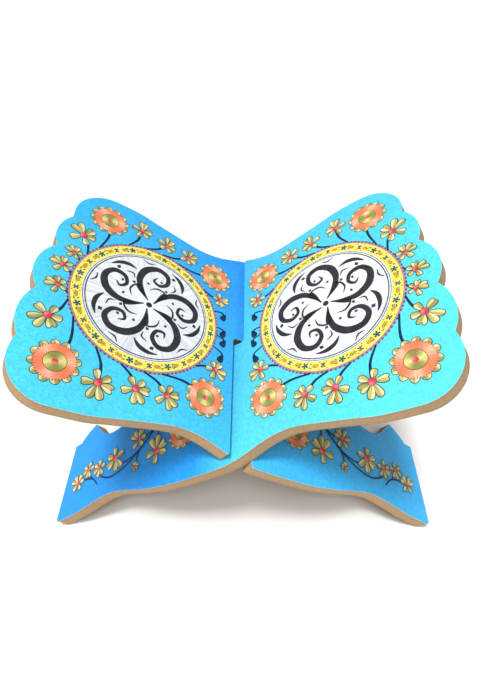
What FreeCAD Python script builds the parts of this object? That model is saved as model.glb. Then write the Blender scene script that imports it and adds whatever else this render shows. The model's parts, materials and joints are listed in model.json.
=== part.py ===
import FreeCAD, Part
import math
import os

# Folding book stand (rehal): two MDF boards that cross in an X.
# The boards have mirrored outlines. Each is slotted to just past its middle,
# the right one from the back edge and the left one from the front edge, so
# that one board passes through the other. The upper half of a board is a
# reading panel with a scalloped outer end, the lower half is a leg with an
# arch between two feet. A thin printed sheet covers its upper face.
#
# Frame: millimetres, +Z up, origin on the floor below the crossing.
# X runs from one reading panel to the other, Y from the front to the back.

# ---- driving dimensions -------------------------------------------------
BOARD_TILT = 33.3            # degrees from the floor, both boards
CORE_THICKNESS = 9.5         # bare MDF
PRINT_THICKNESS = 0.3        # printed sheet on the upper face
SLOT_HALF_WIDTH = 7.6        # along the board, each way from the crossing axis
SLOT_PAST_MIDDLE = 1.75      # how far a slot runs beyond the middle of the board
SLOT_CORNER_RADIUS = 3.0     # cutter radius in the blind end of a slot
SLOT_MOUTH_RADIUS = 1.2      # easing where a slot leaves the long edge
UNDERSIDE_EASING = 0.5       # rounding of the raw lower edges
FOOT_TRIM = 1.15             # height trimmed off the foot corners to make a flat

# Outline, as (distance along the board, place across it) from the crossing
# axis. Positive distances are on the reading panel, negative ones on the leg.
# Places across are positive towards the back.
FOOT_END = -160.0
FOOT_HALF_WIDTH = 98.5
FOOT_CORNER = 2.6

# The two outer corner lobes are round. The scalloped end leans a little, with
# its front corner further out than its back one.
FRONT_LOBE_CENTRE = (109.3, -56.2)
FRONT_LOBE_RADIUS = 25.7
BACK_LOBE_CENTRE = (106.0, 58.9)
BACK_LOBE_RADIUS = 24.9

# Peaks of the three lobes between them, and the cusps where lobes meet. Each
# outer cusp lies on its corner lobe at this place across.
FRONT_CUSP_ACROSS = -48.2
FRONT_PEAK = (138.6, -30.5)
FRONT_INNER_CUSP = (134.1, -15.1)
MIDDLE_PEAK = (139.8, 2.4)
BACK_INNER_CUSP = (132.7, 21.2)
BACK_PEAK = (135.9, 36.6)
BACK_CUSP_ACROSS = 51.4

# Long edges between a foot corner and a corner lobe, as (distance, half width).
# The leg has the same edge at the front and at the back.
LEG_EDGE = [
    (-141.2, 95.6),
    (-122.0, 90.0),
    (-104.0, 86.3),
    (-81.8, 88.2),
    (-56.8, 90.4),
    (-26.8, 89.6),
]
FRONT_PANEL_EDGE = [
    (3.2, 85.6),
    (20.7, 78.9),
    (38.0, 75.1),
    (56.0, 76.5),
    (80.0, 80.1),
]
BACK_PANEL_EDGE = [
    (3.2, 83.0),
    (20.7, 76.2),
    (38.0, 73.9),
    (56.0, 76.6),
    (80.0, 81.3),
]

# Arch between the two feet of a leg, from a foot's inner end to the apex.
ARCH_FOOT = (FOOT_END, 39.8)
ARCH_SHOULDER = (-153.5, 38.5)
ARCH_FLANK = (-147.4, 31.4)
ARCH_TONGUE = (-139.4, 25.2)
ARCH_OGEE = [
    ARCH_TONGUE,
    (-132.0, 32.0),
    (-121.0, 37.9),
    (-109.5, 36.6),
    (-97.0, 30.8),
    (-85.5, 20.0),
    (-76.5, 8.5),
]
ARCH_APEX = (-66.0, 0.0)

# ---- derived values -----------------------------------------------------
THICKNESS = CORE_THICKNESS + PRINT_THICKNESS
TILT = math.radians(BOARD_TILT)
CROSSING_HEIGHT = (
    -FOOT_END * math.sin(TILT)
    + 0.5 * THICKNESS * math.cos(TILT)
    - FOOT_TRIM
)
ACROSS = FreeCAD.Vector(0, 1, 0)
BEYOND = 400.0               # larger than the stand in every direction


def point(place, side=1):
    """A point of the outline, on the +Y or the -Y half of the board."""
    return FreeCAD.Vector(place[0], side * place[1], 0)


def line(start, end):
    return Part.makeLine(start, end)


def arc(start, middle, end):
    return Part.Arc(start, middle, end).toShape()


def spline(points, tangents=None):
    """A smooth curve through the points, with end tangents if they are given."""
    curve = Part.BSplineCurve()
    if tangents:
        curve.interpolate(
            Points=points,
            InitialTangent=tangents[0],
            FinalTangent=tangents[1],
        )
    else:
        curve.interpolate(Points=points)
    return curve.toShape()


def on_lobe(centre, radius, across):
    """The outer point of a corner lobe at this place across the board."""
    rise = across - centre[1]
    return (centre[0] + math.sqrt(radius ** 2 - rise ** 2), across)


FRONT_CUSP = on_lobe(FRONT_LOBE_CENTRE, FRONT_LOBE_RADIUS, FRONT_CUSP_ACROSS)
BACK_CUSP = on_lobe(BACK_LOBE_CENTRE, BACK_LOBE_RADIUS, BACK_CUSP_ACROSS)


def long_edge(side, panel_edge, centre, radius, cusp):
    """Foot corner, flowing long edge and corner lobe, up to the lobe's cusp."""
    foot_low = point((FOOT_END, FOOT_HALF_WIDTH - FOOT_CORNER), side)
    foot_middle = point((FOOT_END + 0.3 * FOOT_CORNER, FOOT_HALF_WIDTH - 0.3 * FOOT_CORNER), side)
    foot_high = point((FOOT_END + FOOT_CORNER, FOOT_HALF_WIDTH), side)
    lobe_start = point((centre[0], centre[1] + side * radius))
    slope = radius * math.sqrt(0.5)
    lobe_middle = point((centre[0] + slope, centre[1] + side * slope))
    through = [foot_high]
    through += [point(place, side) for place in LEG_EDGE + panel_edge]
    through.append(lobe_start)
    leaving_foot = FreeCAD.Vector(1, -0.18 * side, 0)
    meeting_lobe = FreeCAD.Vector(1, 0, 0)
    return [
        arc(foot_low, foot_middle, foot_high),
        spline(through, (leaving_foot, meeting_lobe)),
        arc(lobe_start, lobe_middle, point(cusp)),
    ]


def middle_lobes():
    """The three lobes between the corner lobes."""
    return [
        arc(point(FRONT_CUSP), point(FRONT_PEAK), point(FRONT_INNER_CUSP)),
        arc(point(FRONT_INNER_CUSP), point(MIDDLE_PEAK), point(BACK_INNER_CUSP)),
        arc(point(BACK_INNER_CUSP), point(BACK_PEAK), point(BACK_CUSP)),
    ]


def foot_and_arch(side):
    """Foot end, shoulder, tongue and ogee, up to the apex of the arch."""
    foot_low = point((FOOT_END, FOOT_HALF_WIDTH - FOOT_CORNER), side)
    ogee = [point(place, side) for place in ARCH_OGEE] + [point(ARCH_APEX)]
    return [
        line(foot_low, point(ARCH_FOOT, side)),
        line(point(ARCH_FOOT, side), point(ARCH_SHOULDER, side)),
        arc(point(ARCH_SHOULDER, side), point(ARCH_FLANK, side), point(ARCH_TONGUE, side)),
        spline(ogee),
    ]


def board_outline():
    edges = middle_lobes()
    edges += long_edge(-1, FRONT_PANEL_EDGE, FRONT_LOBE_CENTRE, FRONT_LOBE_RADIUS, FRONT_CUSP)
    edges += long_edge(1, BACK_PANEL_EDGE, BACK_LOBE_CENTRE, BACK_LOBE_RADIUS, BACK_CUSP)
    for side in (1, -1):
        edges += foot_and_arch(side)
    return Part.Wire(Part.__sortEdges__(edges))


def slot_cutter(side):
    """The slot, open to the back (side 1) or the front, with a round-cornered blind end."""
    width = SLOT_HALF_WIDTH
    end = -SLOT_PAST_MIDDLE
    radius = SLOT_CORNER_RADIUS
    turn = radius * (1 - math.sqrt(0.5))
    corners = []
    for flank in (-1, 1):
        corners.append((
            point((flank * width, end + radius), side),
            point((flank * (width - turn), end + turn), side),
            point((flank * (width - radius), end), side),
        ))
    far_left = point((-width, BEYOND), side)
    far_right = point((width, BEYOND), side)
    edges = [
        line(far_left, corners[0][0]),
        arc(*corners[0]),
        line(corners[0][2], corners[1][2]),
        arc(*corners[1]),
        line(corners[1][0], far_right),
        line(far_right, far_left),
    ]
    face = Part.Face(Part.Wire(Part.__sortEdges__(edges)))
    face.translate(FreeCAD.Vector(0, 0, -BEYOND))
    return face.extrude(FreeCAD.Vector(0, 0, 2 * BEYOND))


def slot_mouth_edges(solid, side):
    """The two upright edges where the slot leaves the long edge of the board."""
    found = []
    for edge in solid.Edges:
        box = edge.BoundBox
        upright = box.ZLength > 0.5 * THICKNESS
        at_slot = abs(abs(box.Center.x) - SLOT_HALF_WIDTH) < 0.01
        if upright and at_slot and side * box.Center.y > 0.5 * FOOT_HALF_WIDTH:
            found.append(edge)
    return found


def board_blank(slot_side):
    """A board with its print, flat on its own mid-plane, crossing axis on Y."""
    face = Part.Face(board_outline())
    face.translate(FreeCAD.Vector(0, 0, -0.5 * THICKNESS))
    solid = face.extrude(FreeCAD.Vector(0, 0, THICKNESS))
    solid = solid.cut(slot_cutter(slot_side))
    return solid.makeFillet(SLOT_MOUTH_RADIUS, slot_mouth_edges(solid, slot_side))


def layer(solid, low, high):
    """The part of a flat solid between two heights."""
    slab = Part.makeBox(
        2 * BEYOND,
        2 * BEYOND,
        high - low,
        FreeCAD.Vector(-BEYOND, -BEYOND, low),
    )
    return solid.common(slab)


def eased_underside(solid):
    """Round the raw lower edges of the board, all the way round."""
    lowest = -0.5 * THICKNESS
    edges = [edge for edge in solid.Edges if edge.CenterOfMass.z < lowest + 0.01]
    return solid.makeFillet(UNDERSIDE_EASING, edges)


def stand_up(solid):
    """Tilt a flat board about the crossing axis and lift it onto its feet."""
    placed = solid.copy()
    placed.rotate(FreeCAD.Vector(0, 0, 0), ACROSS, -BOARD_TILT)
    placed.translate(FreeCAD.Vector(0, 0, CROSSING_HEIGHT))
    return placed


def trimmed_at_floor(solid):
    """Cut away what lies below the floor, which leaves a flat on each foot."""
    below = Part.makeBox(
        2 * BEYOND,
        2 * BEYOND,
        BEYOND,
        FreeCAD.Vector(-BEYOND, -BEYOND, -BEYOND),
    )
    return solid.cut(below)


def mirrored(solid):
    """The left-handed twin of a piece, on the other side of the crossing."""
    return solid.mirror(FreeCAD.Vector(0, 0, 0), FreeCAD.Vector(1, 0, 0))


def only_solid(shape):
    return shape.Solids[0] if len(shape.Solids) == 1 else shape


def board_and_print(slot_side):
    """One board and its printed sheet, standing as the right-hand board does."""
    blank = board_blank(slot_side)
    print_level = 0.5 * THICKNESS - PRINT_THICKNESS
    core = eased_underside(only_solid(layer(blank, -0.5 * THICKNESS, print_level)))
    sheet = only_solid(layer(blank, print_level, 0.5 * THICKNESS))
    return only_solid(trimmed_at_floor(stand_up(core))), only_solid(stand_up(sheet))


def build():
    right_board, right_print = board_and_print(1)
    left_board, left_print = board_and_print(-1)
    return {
        "right_board": right_board,
        "right_face_print": right_print,
        "left_board": mirrored(left_board),
        "left_face_print": mirrored(left_print),
    }


def main():
    os.makedirs("parts", exist_ok=True)
    for name, shape in build().items():
        shape.exportStep("parts/" + name + ".step")
        box = shape.BoundBox
        print(
            name,
            "solids", len(shape.Solids),
            "valid", shape.isValid(),
            "X %.1f..%.1f" % (box.XMin, box.XMax),
            "Y %.1f..%.1f" % (box.YMin, box.YMax),
            "Z %.2f..%.1f" % (box.ZMin, box.ZMax),
        )


main()
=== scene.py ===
import json
import math
import random
import bpy
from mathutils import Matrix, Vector

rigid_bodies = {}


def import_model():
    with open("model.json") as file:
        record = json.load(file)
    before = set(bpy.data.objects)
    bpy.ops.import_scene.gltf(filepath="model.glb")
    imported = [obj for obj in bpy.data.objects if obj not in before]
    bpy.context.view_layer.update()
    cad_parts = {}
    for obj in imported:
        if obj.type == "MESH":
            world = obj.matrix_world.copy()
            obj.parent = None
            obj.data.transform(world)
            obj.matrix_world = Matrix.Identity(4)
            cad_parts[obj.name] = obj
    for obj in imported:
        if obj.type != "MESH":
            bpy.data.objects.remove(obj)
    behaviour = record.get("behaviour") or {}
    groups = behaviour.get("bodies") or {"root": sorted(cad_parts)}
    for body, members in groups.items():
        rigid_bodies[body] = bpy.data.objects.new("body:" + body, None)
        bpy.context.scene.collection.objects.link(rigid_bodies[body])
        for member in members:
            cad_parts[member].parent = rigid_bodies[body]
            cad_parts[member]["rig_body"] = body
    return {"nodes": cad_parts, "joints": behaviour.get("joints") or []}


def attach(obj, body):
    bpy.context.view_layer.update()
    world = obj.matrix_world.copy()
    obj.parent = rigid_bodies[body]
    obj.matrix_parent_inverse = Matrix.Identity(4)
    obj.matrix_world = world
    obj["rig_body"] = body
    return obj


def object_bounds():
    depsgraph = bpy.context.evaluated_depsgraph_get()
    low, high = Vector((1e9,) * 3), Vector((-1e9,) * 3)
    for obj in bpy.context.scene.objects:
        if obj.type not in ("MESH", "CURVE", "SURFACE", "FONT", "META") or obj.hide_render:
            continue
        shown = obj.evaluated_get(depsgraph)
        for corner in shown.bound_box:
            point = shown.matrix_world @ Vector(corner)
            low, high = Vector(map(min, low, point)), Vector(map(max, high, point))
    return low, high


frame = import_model()
cad_box = [list(corner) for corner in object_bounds()]

# A folding book stand of two crossing boards. The boards and their printed
# sheets come from the frame. This script gives them their materials and adds
# the ink of the print as thin raised pieces that ride on the boards.
#
# Places on a board are in millimetres: s along the board from the crossing
# axis, positive on the reading panel, and y across it, towards the back.

MM = 0.001
TURN = 2 * math.pi

# ---- the print's layout, mm ---------------------------------------------
MEDALLION_S = 70.5
MEDALLION_Y = 2.0
MEDALLION_RADIUS = 50.0
BAND_OUTER = 48.0
BAND_INNER = 41.7
BAND_MIDDLE = 0.5 * (BAND_OUTER + BAND_INNER)
FIELD_RADIUS = 39.4
OUTLINE = 0.50               # dark line round petals and discs
DISC_RADIUS = 10.8           # of every rosette on the panels
INK_STEP = 0.016             # height of one layer of ink
INK_SUNK = 0.02              # how far ink reaches into the sheet

# Flowers and rosettes round the medallion, by polar place from its centre:
# angle, distance, a flower's size, and the angle where the stem leaves the rim.
# Angle 0 points to the panel's outer end, 90 to the back.
ROSETTES = [
    (57.8, 70.7, 38),
    (-54.7, 72.5, -35),
    (-129.7, 69.8, -108),
    (132.4, 67.5, 107),
]
FLOWERS = [
    (35.5, 61.5, 11.0, 26),
    (-31.8, 62.3, 11.0, -21),
    (-73.8, 66.8, 11.0, -60),
    (-91.6, 61.2, 10.4, -79),
    (-108.6, 63.0, 9.6, -95),
    (-147.5, 59.1, 9.0, -137),
    (150.1, 58.1, 8.2, 138),
    (110.8, 61.4, 9.4, 93),
    (94.1, 60.2, 9.0, 79),
    (76.6, 65.5, 9.6, 64),
]
# The three small flowers at the outer end differ between the two panels.
SMALL_FLOWERS = {
    1: [(14.5, 54.8, 7.8, 19), (-2.1, 55.5, 7.6, 3), (-16.3, 54.9, 6.8, -12)],
    -1: [(19.6, 54.6, 6.6, 16), (5.9, 55.6, 8.0, 1), (-10.6, 54.8, 7.8, -16)],
}
# Buds between the medallion and the crossing: angle, distance, stem angle.
BUDS = [
    (-159.4, 57.3, -164),
    (-172.5, 55.4, -176),
    (179.0, 54.6, 176),
    (164.0, 56.4, 160),
]

# Sprays on the legs, one towards the front and a mirrored one at the back:
# distance s, distance from the board's middle, size, direction of the fan.
LEG_FLOWERS = [
    (-143.8, 73.0, 8.6, 215),
    (-135.1, 63.8, 7.6, 80),
    (-122.6, 64.8, 8.2, 70),
    (-106.4, 61.0, 11.8, 60),
    (-83.7, 51.8, 10.0, 215),
    (-63.8, 65.0, 12.4, 250),
]
LEG_BUD_FLOWER = (-83.0, 72.4, 4.4, 255)
LEG_ROSETTE = (-42.0, 57.2, 9.6)
LEG_STEMS = [
    [(-62.0, 38.0), (-72.0, 48.5), (-81.0, 52.5)],
    [(-62.0, 38.0), (-79.0, 58.0), (-94.0, 66.0), (-105.5, 64.5)],
    [(-66.0, 44.0), (-84.0, 63.0), (-104.0, 74.0), (-118.0, 72.5), (-122.0, 66.5)],
    [(-66.0, 43.0), (-64.5, 54.0), (-63.6, 61.0)],
    [(-81.5, 61.5), (-83.0, 66.0), (-83.0, 70.5)],
    [(-121.0, 77.5), (-127.5, 72.5), (-136.0, 71.5), (-142.0, 73.0)],
    [(-127.5, 72.5), (-132.0, 69.0), (-134.8, 65.0)],
]


# ---- the two boards -----------------------------------------------------
class Board:
    """One board of the frame: its place, its directions and its nodes."""

    def __init__(self, name, side, hinge):
        self.name = name
        self.side = side
        self.core = frame["nodes"][name + "_board"]
        self.sheet = frame["nodes"][name + "_face_print"]
        self.body = self.sheet["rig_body"]
        self.axis = Vector(hinge)
        self.normal = self.upper_normal()
        self.along = side * Vector((0, 1, 0)).cross(self.normal)
        heights = [(v.co - self.axis).dot(self.normal) for v in self.sheet.data.vertices]
        self.face = max(heights)
        self.back = min((v.co - self.axis).dot(self.normal) for v in self.core.data.vertices)

    def upper_normal(self):
        """The mean direction of the sheet's upward-facing polygons."""
        total = Vector((0, 0, 0))
        for polygon in self.sheet.data.polygons:
            if polygon.normal.z > 0.5:
                total += polygon.normal * polygon.area
        total.y = 0
        return total.normalized()

    def point(self, s, y, height):
        """A point over the printed face, in metres, from millimetres."""
        place = self.axis + self.along * (s * MM) + self.normal * (self.face + height * MM)
        place.y += y * MM
        return place


# ---- outlines in the plane ----------------------------------------------
def rotated(points, degrees):
    turn = math.radians(degrees)
    c = math.cos(turn)
    d = math.sin(turn)
    return [(x * c - y * d, x * d + y * c) for x, y in points]


def moved(points, x, y):
    return [(px + x, py + y) for px, py in points]


def polar(degrees, radius):
    turn = math.radians(degrees)
    return (radius * math.cos(turn), radius * math.sin(turn))


def on_panel(degrees, radius):
    """Board place of a point given by polar place from the medallion's centre."""
    x, y = polar(degrees, radius)
    return (MEDALLION_S + x, MEDALLION_Y + y)


def in_band(centre, angle, offset=0.0):
    """A place in the garland's band, by angle and by distance from its middle line."""
    x, y = polar(angle, BAND_MIDDLE + offset)
    return (centre[0] + x, centre[1] + y)


def circle(radius, count):
    return [polar(360 * k / count, radius) for k in range(count)]


PETAL_BLUNTNESS = 0.78       # below 1 makes both ends rounder
PETAL_FOOT = 0.30            # share of the width at the base
PETAL_SPREAD = 0.92          # share gained from the base to the tip
NOTCH_HALF_WIDTH = 0.28      # share of the petal's width
NOTCH_SHARPNESS = 1.3


def petal(base, length, width, notch=0.0, count=24):
    """A petal along +x, narrow at its base and round at its tip, which may be notched.

    Its outline runs anticlockwise."""
    points = []
    for k in range(count):
        turn = TURN * k / count
        t = 0.5 - 0.5 * math.cos(turn)
        x = base + (length - base) * t
        swell = abs(math.sin(turn)) ** PETAL_BLUNTNESS * (PETAL_FOOT + PETAL_SPREAD * t)
        y = 0.5 * width * math.copysign(swell, math.sin(turn))
        if notch and t > 0.5:
            depth = max(0.0, 1 - abs(y) / (NOTCH_HALF_WIDTH * width))
            x -= notch * depth ** NOTCH_SHARPNESS
        points.append((x, -y))
    return points


def grown(points, distance):
    """The outline moved outwards by a distance. It runs anticlockwise."""
    result = []
    count = len(points)
    for k in range(count):
        x0, y0 = points[k - 1]
        x1, y1 = points[(k + 1) % count]
        dx = x1 - x0
        dy = y1 - y0
        size = math.hypot(dx, dy) or 1.0
        result.append((points[k][0] + distance * dy / size, points[k][1] - distance * dx / size))
    return result


def smooth_path(points, steps=10):
    """Catmull-Rom curve through the points, of any number of coordinates."""
    ends = [points[0]] + list(points) + [points[-1]]
    path = []
    for k in range(1, len(ends) - 2):
        p0, p1, p2, p3 = ends[k - 1:k + 3]
        for j in range(steps):
            t = j / steps
            path.append(tuple(
                0.5 * (2 * b + (c - a) * t + (2 * a - 5 * b + 4 * c - d) * t * t
                       + (3 * b - a - 3 * c + d) * t ** 3)
                for a, b, c, d in zip(p0, p1, p2, p3)
            ))
    path.append(tuple(points[-1]))
    return path


# ---- ink ----------------------------------------------------------------
class Ink:
    """Thin closed pieces of one colour on one board, gathered into one mesh.

    Every point also stores its place within its own shape, which the
    materials use for petals' shading, brushed discs and rays."""

    def __init__(self, board, name, layer):
        self.board = board
        self.name = board.name + "_" + name
        self.low = -INK_SUNK
        self.high = layer * INK_STEP
        self.points = []
        self.faces = []
        self.inner = []

    def add_face(self, corners):
        self.faces.append(corners if self.board.side > 0 else corners[::-1])

    def add_point(self, place, height, inner):
        self.points.append(self.board.point(place[0], place[1], height))
        self.inner.append(inner)

    def blob(self, outline, inner=None, seed=0.0):
        """A flat closed piece with this outline, which runs anticlockwise."""
        start = len(self.points)
        count = len(outline)
        inner = inner or [(0.0, 0.0)] * count
        for height in (self.low, self.high):
            for place, own in zip(outline, inner):
                self.add_point(place, height, (own[0], own[1], seed))
        self.add_face([start + k for k in range(count)][::-1])
        self.add_face([start + count + k for k in range(count)])
        for k in range(count):
            after = (k + 1) % count
            self.add_face([start + k, start + after, start + count + after, start + count + k])

    def strip(self, left, right, closed=False):
        """A flat closed piece between two lines with the same number of points."""
        start = len(self.points)
        count = len(left)
        for height in (self.low, self.high):
            for line in (left, right):
                for place in line:
                    self.add_point(place, height, (place[0], place[1], 0.0))
        low_left = start
        low_right = start + count
        high_left = start + 2 * count
        high_right = start + 3 * count
        for k in range(count if closed else count - 1):
            m = (k + 1) % count
            self.add_face([high_left + k, high_right + k, high_right + m, high_left + m])
            self.add_face([low_left + k, low_left + m, low_right + m, low_right + k])
            self.add_face([low_left + k, high_left + k, high_left + m, low_left + m])
            self.add_face([low_right + k, low_right + m, high_right + m, high_right + k])
        if not closed:
            k = count - 1
            self.add_face([low_left, low_right, high_right, high_left])
            self.add_face([low_left + k, high_left + k, high_right + k, low_right + k])

    def brush(self, points, steps=10):
        """A stroke through (s, y, width) points."""
        path = smooth_path(points, steps)
        left = []
        right = []
        for k in range(len(path)):
            x0, y0 = path[max(k - 1, 0)][:2]
            x1, y1 = path[min(k + 1, len(path) - 1)][:2]
            size = math.hypot(x1 - x0, y1 - y0) or 1.0
            half = 0.5 * path[k][2]
            nx = -(y1 - y0) / size * half
            ny = (x1 - x0) / size * half
            left.append((path[k][0] + nx, path[k][1] + ny))
            right.append((path[k][0] - nx, path[k][1] - ny))
        self.strip(left, right)

    def ring(self, centre, outer, inner, count=96):
        """A flat ring."""
        outer_line = moved(circle(outer, count), *centre)
        inner_line = moved(circle(inner, count), *centre)
        self.strip(inner_line, outer_line, closed=True)

    def make(self, material):
        """The finished piece, riding on its board."""
        mesh = bpy.data.meshes.new(self.name)
        mesh.from_pydata(self.points, [], self.faces)
        mesh.update()
        attribute = mesh.attributes.new("inner", "FLOAT_VECTOR", "POINT")
        attribute.data.foreach_set("vector", [c for own in self.inner for c in own])
        mesh.materials.append(material)
        piece = bpy.data.objects.new(self.name, mesh)
        bpy.context.scene.collection.objects.link(piece)
        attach(piece, self.board.body)
        return piece


# ---- materials ----------------------------------------------------------
def linear(red, green, blue):
    """Linear colour from 0..255 values as seen on a screen."""
    def one(value):
        value /= 255
        return value / 12.92 if value <= 0.04045 else ((value + 0.055) / 1.055) ** 2.4
    return (one(red), one(green), one(blue), 1.0)


class Graph:
    """A material's node tree, built with short calls."""

    def __init__(self, name, roughness=0.45, specular=0.4):
        self.material = bpy.data.materials.new(name)
        self.material.use_nodes = True
        self.tree = self.material.node_tree
        self.shader = self.tree.nodes["Principled BSDF"]
        self.shader.inputs["Roughness"].default_value = roughness
        self.shader.inputs["Specular IOR Level"].default_value = specular
        self.object_place = self.node("ShaderNodeTexCoord").outputs["Object"]

    def node(self, kind, **settings):
        made = self.tree.nodes.new(kind)
        for key, value in settings.items():
            setattr(made, key, value)
        return made

    def feed(self, socket, value):
        if isinstance(value, bpy.types.NodeSocket):
            self.tree.links.new(value, socket)
        else:
            socket.default_value = value

    def noise(self, place, scale, detail=3.0, roughness=0.55):
        made = self.node("ShaderNodeTexNoise")
        self.feed(made.inputs["Vector"], place)
        made.inputs["Scale"].default_value = scale
        made.inputs["Detail"].default_value = detail
        made.inputs["Roughness"].default_value = roughness
        return made.outputs["Fac"]

    def math(self, operation, first, second=0.0, clamp=False):
        made = self.node("ShaderNodeMath", operation=operation, use_clamp=clamp)
        self.feed(made.inputs[0], first)
        self.feed(made.inputs[1], second)
        return made.outputs[0]

    def span(self, value, low, high, to_low=0.0, to_high=1.0):
        """value taken from one range to another, and kept inside it."""
        made = self.node("ShaderNodeMapRange")
        self.feed(made.inputs["Value"], value)
        made.inputs["From Min"].default_value = low
        made.inputs["From Max"].default_value = high
        made.inputs["To Min"].default_value = to_low
        made.inputs["To Max"].default_value = to_high
        return made.outputs["Result"]

    def mix(self, amount, first, second, blend="MIX"):
        made = self.node("ShaderNodeMix", data_type="RGBA", blend_type=blend)
        self.feed(made.inputs["Factor"], amount)
        self.feed(made.inputs[6], first)
        self.feed(made.inputs[7], second)
        return made.outputs[2]

    def dot(self, place, direction):
        made = self.node("ShaderNodeVectorMath", operation="DOT_PRODUCT")
        self.feed(made.inputs[0], place)
        made.inputs[1].default_value = direction
        return made.outputs["Value"]

    def vector(self, x, y, z):
        made = self.node("ShaderNodeCombineXYZ")
        for k, value in enumerate((x, y, z)):
            self.feed(made.inputs[k], value)
        return made.outputs[0]

    def distance(self, x, y):
        """How far a point is from its shape's centre."""
        square = self.math("ADD", self.math("MULTIPLY", x, x), self.math("MULTIPLY", y, y))
        return self.math("SQRT", square)

    def inner(self):
        """A point's place within its own shape: x, y and the shape's seed."""
        made = self.node("ShaderNodeAttribute", attribute_name="inner")
        parts = self.node("ShaderNodeSeparateXYZ")
        self.feed(parts.inputs[0], made.outputs["Vector"])
        return parts.outputs[0], parts.outputs[1], parts.outputs[2]

    def bump(self, height, strength, distance):
        made = self.node("ShaderNodeBump")
        self.feed(made.inputs["Height"], height)
        made.inputs["Strength"].default_value = strength
        made.inputs["Distance"].default_value = distance
        self.feed(self.shader.inputs["Normal"], made.outputs["Normal"])

    def colour(self, value):
        self.feed(self.shader.inputs["Base Color"], value)

    def roughness(self, value):
        self.feed(self.shader.inputs["Roughness"], value)


def print_grain(graph, colour, amount):
    """The fine canvas grain that the whole print shares."""
    fine = graph.noise(graph.object_place, 1300.0, 2.0, 0.6)
    soft = graph.noise(graph.object_place, 480.0, 2.0, 0.5)
    both = graph.math("ADD", graph.math("MULTIPLY", fine, 0.6), graph.math("MULTIPLY", soft, 0.4))
    shade = graph.span(both, 0.36, 0.64, 1.0 - amount, 1.0 + amount)
    grey = graph.node("ShaderNodeCombineColor")
    for k in range(3):
        graph.feed(grey.inputs[k], shade)
    graph.bump(both, 0.25, 0.00012)
    graph.roughness(graph.span(both, 0.35, 0.65, 0.36, 0.50))
    return graph.mix(1.0, colour, grey.outputs[0], "MULTIPLY")


PANEL_LIT_END = 150.0            # s where the painted light on the panel's blue is strongest
PANEL_SHADED_BACK = 90.0            # y where the painted shade is deepest; the painted light is strongest at the same y in front
LEG_SHADE_START = 2.0         # s where the blue begins to turn into the leg's painted shade
LEG_SHADE_FULL = -30.0        # s where it has become the leg's painted shade
# The sheet's blue near the crossing (painted shade), at its outer front corner (painted light) and
# on its leg (painted shade under the panel). Part of the gradient is the print's own; the rest, and
# the difference between the two boards, is painted light and shade.
LIT_AND_SHADED_BLUES = {
    "left": (linear(42, 144, 246), linear(86, 228, 252), linear(62, 186, 252)),
    "right": (linear(70, 176, 240), linear(94, 234, 250), linear(30, 150, 240)),
}


def blue_print_and_painted_light(board):
    """Blue printed sheet with painted shade near the crossing, at the back and on the leg, and
    painted light towards the outer front, partly the print's own gradient; with a white paper edge.
    """
    graph = Graph(board.name + "_blue_print_and_painted_light")
    place = graph.object_place
    crossing = board.axis.dot(board.along)
    out = graph.math("SUBTRACT", graph.dot(place, board.along), crossing)
    outward = graph.span(out, 0.0, PANEL_LIT_END * MM)
    across = graph.dot(place, (0, 1, 0))
    frontward = graph.span(across, PANEL_SHADED_BACK * MM, -PANEL_SHADED_BACK * MM)
    # painted light towards the outer end and the front, painted shade towards the crossing and the
    # back
    painted_light = graph.math("MULTIPLY", graph.math("ADD", outward, frontward), 0.5)
    cloud = graph.noise(place, 14.0, 2.0)
    painted_light = graph.math("ADD", painted_light, graph.span(cloud, 0.3, 0.7, -0.08, 0.08), clamp=True)
    # each board's own blues carry painted light and shade; the leg's blue is painted shade under the
    # panel
    shaded_blue, light, leg_shade_blue = LIT_AND_SHADED_BLUES[board.name]
    leg_painted_shade = graph.span(out, LEG_SHADE_START * MM, LEG_SHADE_FULL * MM)
    colour = graph.mix(leg_painted_shade, graph.mix(painted_light, shaded_blue, light), leg_shade_blue)
    colour = print_grain(graph, colour, 0.18)
    geometry = graph.node("ShaderNodeNewGeometry")
    facing = graph.dot(geometry.outputs["True Normal"], board.normal)
    is_edge = graph.math("LESS_THAN", graph.math("ABSOLUTE", facing), 0.5)
    fibre = graph.noise(place, 2600.0, 2.0)
    paper = graph.mix(fibre, linear(206, 190, 164), linear(238, 230, 214))
    graph.colour(graph.mix(is_edge, colour, paper))
    return graph.material


def mdf(board):
    """Raw MDF: felted fibres, paler in the middle of its thickness."""
    graph = Graph(board.name + "_mdf", roughness=0.85, specular=0.25)
    place = graph.object_place
    height = graph.dot(place, board.normal)
    low = board.axis.dot(board.normal) + board.back
    high = board.axis.dot(board.normal) + board.face
    across = graph.span(height, low, high, -1.0, 1.0)
    dense = graph.math("POWER", graph.math("ABSOLUTE", across), 3.0)
    fibre = graph.noise(place, 900.0, 5.0, 0.7)
    speck = graph.noise(place, 2800.0, 2.0, 0.5)
    patch = graph.noise(place, 45.0, 3.0, 0.5)
    pale = linear(186, 161, 128)
    brown = linear(161, 133, 98)
    dark = linear(128, 100, 69)
    colour = graph.mix(graph.span(fibre, 0.35, 0.65), brown, pale)
    colour = graph.mix(graph.span(patch, 0.35, 0.70, 0.0, 0.35), colour, brown)
    colour = graph.mix(graph.math("MULTIPLY", dense, 0.45), colour, dark)
    colour = graph.mix(graph.span(speck, 0.62, 0.74, 0.0, 0.5), colour, dark)
    graph.colour(colour)
    rough = graph.math("ADD", graph.math("MULTIPLY", fibre, 0.7), graph.math("MULTIPLY", speck, 0.3))
    graph.bump(rough, 0.5, 0.0002)
    graph.roughness(graph.span(fibre, 0.3, 0.7, 0.78, 0.95))
    return graph.material


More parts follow.
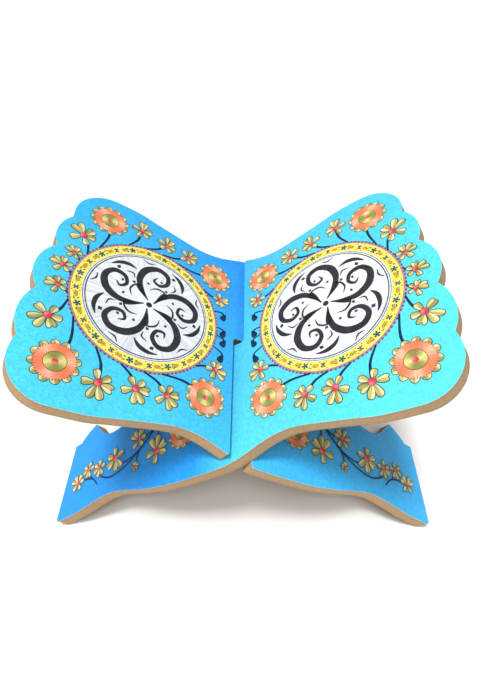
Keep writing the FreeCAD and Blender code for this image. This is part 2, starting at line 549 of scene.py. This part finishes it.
def plain_ink(name, first, second, scale=260.0):
    """One printed colour with its dots running a little light and dark."""
    graph = Graph(name)
    spread = graph.span(graph.noise(graph.object_place, scale, 3.0), 0.32, 0.68)
    graph.colour(print_grain(graph, graph.mix(spread, first, second), 0.06))
    return graph.material


def petal_ink():
    """Petals printed like foil: pale along one half, olive along the other."""
    graph = Graph("ink_petals")
    along, across, seed = graph.inner()
    streak_place = graph.vector(
        graph.math("MULTIPLY", along, 0.7),
        graph.math("MULTIPLY", across, 2.8),
        graph.math("MULTIPLY", seed, 9.0),
    )
    streak = graph.noise(streak_place, 1.8, 3.0)
    half = graph.span(across, -0.25, 0.35, -0.20, 0.20)
    tone = graph.math("ADD", graph.math("ADD", streak, half), graph.math("MULTIPLY", seed, 0.22))
    level = graph.math("ADD", tone, graph.span(along, -0.1, 0.5, -0.18, 0.0))
    pale = linear(232, 224, 168)
    gold = linear(198, 188, 114)
    olive = linear(142, 137, 80)
    lower = graph.mix(graph.span(level, 0.26, 0.54), olive, gold)
    colour = graph.mix(graph.span(level, 0.54, 0.82), lower, pale)
    rib = graph.span(graph.math("ABSOLUTE", across), 0.03, 0.16, 0.55, 0.0)
    short_rib = graph.math("MULTIPLY", rib, graph.span(along, 0.80, 0.55))
    colour = graph.mix(short_rib, colour, linear(112, 104, 60))
    graph.colour(print_grain(graph, colour, 0.05))
    return graph.material


def brushed_ink(name, dark, middle, bright, wedges, phase):
    """A disc printed like turned metal: bright wedges round its centre."""
    graph = Graph(name)
    x, y, seed = graph.inner()
    angle = graph.math("ARCTAN2", y, x)
    own_turn = graph.math("MULTIPLY", seed, 6.0)
    turned = graph.math("ADD", graph.math("MULTIPLY", angle, wedges), own_turn)
    wave = graph.math("SINE", graph.math("ADD", turned, phase))
    spokes = graph.vector(
        graph.math("SINE", angle),
        graph.math("COSINE", angle),
        graph.math("MULTIPLY", graph.distance(x, y), 0.3),
    )
    streak = graph.noise(spokes, 9.0, 4.0, 0.7)
    level = graph.math("ADD", graph.math("MULTIPLY", wave, 0.32), streak)
    colour = graph.mix(graph.span(level, 0.25, 0.60), dark, middle)
    colour = graph.mix(graph.span(level, 0.62, 0.92), colour, bright)
    graph.colour(print_grain(graph, colour, 0.04))
    return graph.material


def field_ink():
    """White field with faint grey rays from its centre."""
    graph = Graph("ink_field")
    x, y = graph.inner()[:2]
    angle = graph.math("ARCTAN2", y, x)
    spokes = graph.vector(graph.math("SINE", angle), graph.math("COSINE", angle), 0.0)
    ray = graph.noise(spokes, 17.0, 3.0, 0.6)
    off_centre = graph.span(graph.distance(x, y), 0.08, 0.4)
    strength = graph.math("MULTIPLY", graph.span(ray, 0.47, 0.56), off_centre)
    white = linear(236, 239, 243)
    grey = linear(204, 208, 217)
    colour = graph.mix(graph.math("MULTIPLY", strength, 0.7), white, grey)
    graph.colour(print_grain(graph, colour, 0.03))
    return graph.material


def band_ink():
    """Warm yellow of the garland band."""
    graph = Graph("ink_band")
    spread = graph.noise(graph.object_place, 120.0, 3.0)
    colour = graph.mix(spread, linear(248, 224, 70), linear(255, 243, 120))
    graph.colour(print_grain(graph, colour, 0.05))
    return graph.material


INKS = {
    "stems": plain_ink("ink_stems", linear(14, 36, 62), linear(24, 56, 84)),
    "outlines": plain_ink("ink_outlines", linear(60, 66, 46), linear(84, 86, 56)),
    "heart_rims": plain_ink("ink_heart_rims", linear(96, 60, 44), linear(118, 80, 54)),
    "petals": petal_ink(),
    "hearts": brushed_ink(
        "ink_hearts", linear(214, 56, 78), linear(236, 86, 104), linear(250, 140, 150), 1.0, 0.6),
    "discs": brushed_ink(
        "ink_discs", linear(240, 128, 88), linear(250, 150, 112), linear(255, 198, 164), 3.0, 0.9),
    "hubs": brushed_ink(
        "ink_hubs", linear(140, 142, 72), linear(186, 178, 98), linear(244, 230, 150), 2.0, 0.2),
    "disc_dots": plain_ink("ink_disc_dots", linear(86, 48, 92), linear(116, 66, 112)),
    "rim": plain_ink("ink_rim", linear(146, 122, 150), linear(170, 144, 168)),
    "rim_dots": plain_ink("ink_rim_dots", linear(58, 48, 92), linear(84, 66, 116)),
    "rim_beads": plain_ink("ink_rim_beads", linear(196, 112, 84), linear(220, 142, 98)),
    "band": band_ink(),
    "field": field_ink(),
    "lines": plain_ink("ink_lines", linear(48, 80, 150), linear(70, 104, 176)),
    "teal": plain_ink("ink_teal", linear(8, 76, 96), linear(24, 106, 118)),
    "violet": plain_ink("ink_violet", linear(46, 58, 104), linear(74, 84, 132)),
    "red": plain_ink("ink_red", linear(150, 62, 44), linear(188, 92, 56)),
    "green": plain_ink("ink_green", linear(60, 112, 70), linear(104, 142, 78)),
    "scrolls": plain_ink("ink_scrolls", linear(38, 38, 44), linear(56, 56, 62)),
}
LAYERS = {
    "field": 1, "rim": 1, "band": 2, "rim_dots": 2, "rim_beads": 2, "lines": 2, "stems": 3,
    "outlines": 4, "petals": 5, "discs": 6, "disc_dots": 7, "heart_rims": 7, "hubs": 8, "hearts": 9,
    "green": 3, "red": 4, "teal": 5, "violet": 5, "scrolls": 3,
}


# ---- the print ----------------------------------------------------------
class Print:
    """All the ink on one board, and the shapes it is made of."""

    # A flower's petals: angle from the fan's direction, length, width, notch.
    PETALS = [
        (-17, 1.00, 0.42, 0.0),
        (18, 0.98, 0.44, 0.0),
        (74, 0.86, 0.58, 0.17),
        (130, 0.74, 0.44, 0.0),
        (-158, 0.74, 0.42, 0.0),
        (-80, 0.86, 0.48, 0.08),
    ]
    # Shares of a flower's size.
    PETAL_START = 0.12
    PETAL_WIDTH = 0.93           # of the widths above
    HEART = 0.19
    PETAL_LENGTHS = (0.89, 0.98)  # of the lengths above, drawn at random
    PETAL_WOBBLE = 5             # degrees either way, drawn at random

    LOBES = 12                   # round petals of a rosette
    RIM_DOTS = 44                # dots round a rosette's disc
    # Shares of a rosette's radius.
    LOBE = 0.205
    DOT_RING = 0.975
    DOT = 0.030
    HUB = 0.53
    HUB_RIM = 0.562
    ROSETTE_HEART = 0.155

    STEM_BOW = 0.10              # share of a stem's length that its middle leans out
    BUD_TURN = -62               # degrees
    BUD_DROP = 1.4               # how far a bud hangs in front of its stem's end

    def __init__(self, board):
        self.board = board
        self.inks = {name: Ink(board, name, LAYERS[name]) for name in INKS}
        self.random = random.Random(17 + board.side)

    def one_petal(self, centre, angle, length, width, base, notch):
        shape = petal(base, length, width, notch)
        inner = [((x - base) / (length - base), 2 * y / width) for x, y in shape]
        seed = self.random.random()
        self.inks["petals"].blob(moved(rotated(shape, angle), *centre), inner, seed)
        line = grown(shape, OUTLINE)
        self.inks["outlines"].blob(moved(rotated(line, angle), *centre))

    def disc(self, ink, centre, radius, count=40):
        shape = circle(radius, count)
        inner = [(x / radius, y / radius) for x, y in shape]
        self.inks[ink].blob(moved(shape, *centre), inner, self.random.random())

    def dots(self, ink, centre, ring, radius, count, sides=8, phase=0.0):
        for k in range(count):
            x, y = polar(360 * (k + phase) / count, ring)
            self.inks[ink].blob(moved(circle(radius, sides), centre[0] + x, centre[1] + y))

    def flower(self, centre, size, fan, hand):
        """Six petals, two of them paired and one notched, about a round heart.

        The notched petal is to the left of the fan (hand 1) or to its right."""
        for angle, length, width, notch in self.PETALS:
            own = hand * angle + self.random.uniform(-self.PETAL_WOBBLE, self.PETAL_WOBBLE)
            reach = size * length * self.random.uniform(*self.PETAL_LENGTHS)
            spread = self.PETAL_WIDTH * size * width
            start = self.PETAL_START * size
            self.one_petal(centre, fan + own, reach, spread, start, notch * size)
        heart = self.HEART * size
        self.disc("heart_rims", centre, heart + 0.6 * OUTLINE, 24)
        self.disc("hearts", centre, heart, 24)

    def rosette(self, centre, radius):
        """A brushed disc with a dotted edge, a hub and a ring of round petals."""
        lobe = self.LOBE * radius
        for k in range(self.LOBES):
            angle = 360 * (k + 0.5) / self.LOBES
            x, y = polar(angle, radius)
            shape = circle(lobe, 24)
            inner = [(px / lobe, py / lobe) for px, py in rotated(shape, -angle)]
            place = (centre[0] + x, centre[1] + y)
            self.inks["petals"].blob(moved(shape, *place), inner, self.random.random())
            self.inks["outlines"].blob(moved(circle(lobe + 0.8 * OUTLINE, 24), *place))
        self.inks["outlines"].blob(moved(circle(radius + 0.3 * OUTLINE, 64), *centre))
        self.disc("discs", centre, radius, 64)
        self.dots("disc_dots", centre, self.DOT_RING * radius, self.DOT * radius, self.RIM_DOTS)
        self.inks["heart_rims"].ring(centre, self.HUB_RIM * radius, self.HUB * radius, 48)
        self.disc("hubs", centre, self.HUB * radius, 48)
        self.disc("hearts", centre, self.ROSETTE_HEART * radius, 24)

    def stem(self, start, end, bow, thin=1.1, thick=2.1):
        """A curved stem, thin where it leaves the rim, thicker at its end."""
        dx = end[0] - start[0]
        dy = end[1] - start[1]
        middle = (start[0] + 0.5 * dx - bow * dy, start[1] + 0.5 * dy + bow * dx)
        self.inks["stems"].brush([
            (start[0], start[1], thin),
            (middle[0], middle[1], 0.5 * (thin + thick)),
            (end[0], end[1], thick),
        ])

    def bud(self, angle, distance, stem_angle):
        """A dark drop at the end of a thin curl."""
        tip = on_panel(angle, distance)
        root = on_panel(stem_angle, MEDALLION_RADIUS - 0.5)
        bend = on_panel(0.35 * angle + 0.65 * stem_angle, distance - 0.6)
        ink = self.inks["stems"]
        ink.brush([
            (root[0], root[1], 0.8),
            (bend[0], bend[1], 1.2),
            (tip[0], tip[1] - 0.4, 1.7),
        ])
        drop = petal(-3.6, 3.4, 5.2)
        ink.blob(moved(rotated(drop, self.BUD_TURN), tip[0], tip[1] - self.BUD_DROP))

    def panel_garden(self):
        """Everything round the medallion."""
        rim = MEDALLION_RADIUS - 0.6
        for angle, distance, stem_angle in ROSETTES:
            centre = on_panel(angle, distance)
            bow = self.STEM_BOW if angle > stem_angle else -self.STEM_BOW
            self.stem(on_panel(stem_angle, rim), centre, bow)
            self.rosette(centre, DISC_RADIUS)
        small = SMALL_FLOWERS[self.board.side]
        for angle, distance, size, stem_angle in FLOWERS + small:
            centre = on_panel(angle, distance)
            bow = self.STEM_BOW if angle > stem_angle else -self.STEM_BOW
            self.stem(on_panel(stem_angle, rim), centre, bow)
            hand = 1 if angle > -20 else -1
            self.flower(centre, size, angle + 12 * hand, hand)
        for angle, distance, stem_angle in BUDS:
            self.bud(angle, distance, stem_angle)

    BEADS = 112                  # dots round the rim, and beads between them
    RING_STEPS = 128             # corners of the medallion's rings

    def medallion(self):
        """The dotted rim, the garland's band and the field inside it."""
        centre = (MEDALLION_S, MEDALLION_Y)
        steps = self.RING_STEPS
        self.inks["rim"].ring(centre, MEDALLION_RADIUS, BAND_OUTER - 0.3, steps)
        self.dots("rim_dots", centre, MEDALLION_RADIUS - 0.45, 0.62, self.BEADS)
        self.dots("rim_beads", centre, BAND_OUTER + 0.55, 0.46, self.BEADS, phase=0.5)
        self.inks["band"].ring(centre, BAND_OUTER, BAND_INNER, steps)
        self.disc("field", centre, BAND_INNER + 0.2, 96)
        self.inks["lines"].ring(centre, BAND_INNER - 0.4, BAND_INNER - 0.9, steps)
        self.inks["stems"].ring(centre, FIELD_RADIUS + 0.7, FIELD_RADIUS, steps)
        self.garland(centre)
        self.arabesque(centre)

    def spray(self, ink, place, angle, length, width, angles):
        """A few small leaves fanned about a point."""
        for own in angles:
            shape = petal(0.0, length, width, count=10)
            self.inks[ink].blob(moved(rotated(shape, angle + own), *place))

    def sprig(self, centre, angle, reach):
        """A thin twig along the band with pairs of small leaves and one at its tip."""
        thickness = 0.38
        sway = 0.4
        leaf_lean = 50
        twig = []
        for k in range(5):
            turn = reach * (k - 2) / 4
            place = in_band(centre, angle + turn, sway * math.cos(2.4 * k))
            twig.append((*place, thickness))
        self.inks["red"].brush(twig, 4)
        for k in range(4):
            turn = reach * (k - 1.5) / 4
            place = in_band(centre, angle + turn)
            ink = "red" if k % 2 else "green"
            self.spray(ink, place, angle + turn + 90, 1.7, 0.62, (leaf_lean, -leaf_lean))
        tip = in_band(centre, angle + 0.5 * reach)
        self.spray("red", tip, angle + 90, 1.4, 0.8, (0,))

    GARLAND_FLOWERS = 12
    GARLAND_START = 6            # degrees, where the first flower is

    def garland(self, centre):
        """Flowers, twigs and leaves that follow one another round the band."""
        step = 360 / self.GARLAND_FLOWERS
        leaf_turn = 3.4
        leaf_lean = 40
        for k in range(self.GARLAND_FLOWERS):
            angle = k * step + self.GARLAND_START
            flower = in_band(centre, angle)
            self.spray("teal", flower, angle, 2.3, 1.6, (0, 72, 144, 216, 288))
            self.dots("red", flower, 0.0, 0.6, 1)
            for side in (-1, 1):
                turn = side * leaf_turn
                for offset in (-0.45, 0.45):
                    leaf = in_band(centre, angle + turn, offset)
                    lean = -leaf_lean if offset * side > 0 else leaf_lean
                    self.spray("teal", leaf, angle + 90 * side, 1.9, 1.0, (lean,))
                berry = in_band(centre, angle + 1.7 * turn, 1.2)
                self.dots("green", berry, 0.0, 0.42, 1)
            between = angle + 0.5 * step
            butterfly = in_band(centre, between)
            self.spray("violet", butterfly, between, 2.0, 1.2, (48, 132, 228, 312))
            self.spray("green", butterfly, between, 2.0, 0.8, (0, 180))
            for side, ink in ((-1, "green"), (1, "red")):
                self.sprig(centre, angle + side * 0.262 * step, 4.6)
                for offset in (-2.3, 2.3):
                    berry = in_band(centre, angle + side * 0.40 * step, offset)
                    self.dots(ink, berry, 0.0, 0.45, 1)

    # One arm of the ornament in the field, as strokes of (outward, sideways,
    # width) points. The arm is repeated all round the centre.
    ARMS = 5
    SCROLLS = [
        [(3.2, -1.2, 0.8), (9.5, -6.0, 2.8), (18.5, -9.4, 4.4), (28.0, -6.6, 5.0),
         (33.0, 1.4, 4.2), (30.2, 8.8, 3.6), (23.0, 9.6, 3.0), (19.2, 4.6, 2.4),
         (21.8, 0.2, 1.8), (25.4, 2.4, 0.6)],
        [(34.6, 12.0, 0.5), (31.2, 17.2, 2.6), (25.8, 20.6, 2.8), (19.8, 20.8, 0.5)],
        [(12.4, -1.4, 0.4), (15.6, 3.0, 1.3), (14.6, 8.4, 1.3), (10.8, 11.0, 0.4)],
        [(37.2, -9.6, 0.4), (35.4, -5.6, 1.2), (36.8, -1.4, 0.4)],
        [(24.4, 14.2, 0.4), (20.2, 15.8, 1.2), (17.4, 13.0, 0.4)],
    ]
    LEAF = (6.5, 17.5, 4.6, 37)          # base, tip, width, direction
    DIAMONDS = [
        (29.6, 13.4, 1.5),
        (14.2, -12.4, 1.2),
        (22.6, 5.6, 1.1),
        (17.4, -3.2, 1.1),
    ]

    def arabesque(self, centre):
        """A round pattern of brush scrolls, leaves and diamonds."""
        ink = self.inks["scrolls"]
        for arm in range(self.ARMS):
            turn = 360 * arm / self.ARMS + 90
            for stroke in self.SCROLLS:
                line = moved(rotated([(x, y) for x, y, w in stroke], turn), *centre)
                ink.brush([(*place, own[2]) for place, own in zip(line, stroke)], 8)
            for x, y, half in self.DIAMONDS:
                square = [(half, 0.0), (0.0, 1.2 * half), (-half, 0.0), (0.0, -1.2 * half)]
                ink.blob(moved(rotated(moved(square, x, y), turn), *centre))
            base, tip, width, lean = self.LEAF
            ink.blob(moved(rotated(petal(base, tip, width), turn + lean), *centre))
        ink.blob(moved(circle(2.0, 24), *centre))

    def leg_sprays(self):
        for flip in (-1, 1):
            for line in LEG_STEMS:
                count = len(line)
                points = [(s, flip * y, 1.0 + 0.4 * k / count) for k, (s, y) in enumerate(line)]
                self.inks["stems"].brush(points)
            for s, y, size, fan in LEG_FLOWERS + [LEG_BUD_FLOWER]:
                self.flower((s, flip * y), size, flip * fan, flip)
            s, y, radius = LEG_ROSETTE
            self.rosette((s, flip * y), radius)

    def make(self):
        self.panel_garden()
        self.medallion()
        self.leg_sprays()
        for name, ink in self.inks.items():
            ink.make(INKS[name])


# ---- the scene ----------------------------------------------------------
def set_material(node, material):
    node.data.materials.clear()
    node.data.materials.append(material)


def floor_material():
    graph = Graph("studio_floor", roughness=0.6, specular=0.2)
    spread = graph.noise(graph.object_place, 6.0, 2.0)
    graph.colour(graph.mix(spread, (0.88, 0.88, 0.88, 1), (0.90, 0.90, 0.90, 1)))
    return graph.material


FLOOR_HALF = 3.0             # metres
WORLD_STRENGTH = 0.13
WHITE = (1.0, 1.0, 1.0)
WARM = (1.0, 0.91, 0.80)
# Suns: name, azimuth, elevation and width in degrees, strength, colour and
# whether glossy surfaces mirror it. Azimuth 0 is in front of the stand, and
# -90 to its left.
SUNS = [
    ("key", -110, 82, 16, 3.0, WHITE, True),
    ("front", 10, 73, 20, 0.9, WHITE, True),
    ("fill", -20, 5, 40, 1.9, WARM, False),
]

# The camera, in metres and degrees, from the crossing axis.
SENSOR_WIDTH = 36.0          # mm
LENS = 21.45                 # mm
CAMERA_SHIFT = -0.0139
CAMERA_RIGHT = 0.0105
CAMERA_BACK = -0.1768
CAMERA_ABOVE = 0.2392
CAMERA_TURN = (37.43, 1.55, 0.72)


def make_floor():
    half = FLOOR_HALF
    corners = [(-half, -half, 0), (half, -half, 0), (half, half, 0), (-half, half, 0)]
    mesh = bpy.data.meshes.new("floor")
    mesh.from_pydata(corners, [], [(0, 1, 2, 3)])
    mesh.materials.append(floor_material())
    floor = bpy.data.objects.new("floor", mesh)
    floor.location.z = cad_box[0][2]
    bpy.context.scene.collection.objects.link(floor)


def soft_sun(name, azimuth, elevation, width, strength, colour, mirrored):
    """A wide sun, for studio light that falls evenly on the whole floor."""
    data = bpy.data.lights.new(name, "SUN")
    data.energy = strength
    data.color = colour
    data.angle = math.radians(width)
    light = bpy.data.objects.new(name, data)
    light.visible_glossy = mirrored
    across = math.cos(math.radians(elevation))
    toward = Vector((
        across * math.sin(math.radians(azimuth)),
        -across * math.cos(math.radians(azimuth)),
        math.sin(math.radians(elevation)),
    ))
    light.rotation_euler = (-toward).to_track_quat("-Z", "Y").to_euler()
    bpy.context.scene.collection.objects.link(light)


def make_lights():
    """A dim white studio, and the suns."""
    world = bpy.data.worlds.new("studio")
    world.use_nodes = True
    background = world.node_tree.nodes["Background"]
    background.inputs["Color"].default_value = (1.0, 1.0, 1.0, 1.0)
    background.inputs["Strength"].default_value = WORLD_STRENGTH
    bpy.context.scene.world = world
    for sun in SUNS:
        soft_sun(*sun)


def make_camera(hinge):
    data = bpy.data.cameras.new("camera")
    data.sensor_width = SENSOR_WIDTH
    data.lens = LENS
    data.shift_y = CAMERA_SHIFT
    camera = bpy.data.objects.new("camera", data)
    camera.location = (
        hinge[0] + CAMERA_RIGHT,
        hinge[1] + CAMERA_BACK,
        hinge[2] + CAMERA_ABOVE,
    )
    camera.rotation_euler = [math.radians(angle) for angle in CAMERA_TURN]
    bpy.context.scene.collection.objects.link(camera)
    bpy.context.scene.camera = camera


def main():
    hinge = frame["joints"][0]["pos_m"]
    for name, side in (("right", 1), ("left", -1)):
        board = Board(name, side, hinge)
        set_material(board.core, mdf(board))
        set_material(board.sheet, blue_print_and_painted_light(board))
        Print(board).make()
    make_floor()
    make_lights()
    make_camera(hinge)
    bpy.context.scene.view_settings.view_transform = "Standard"


main()
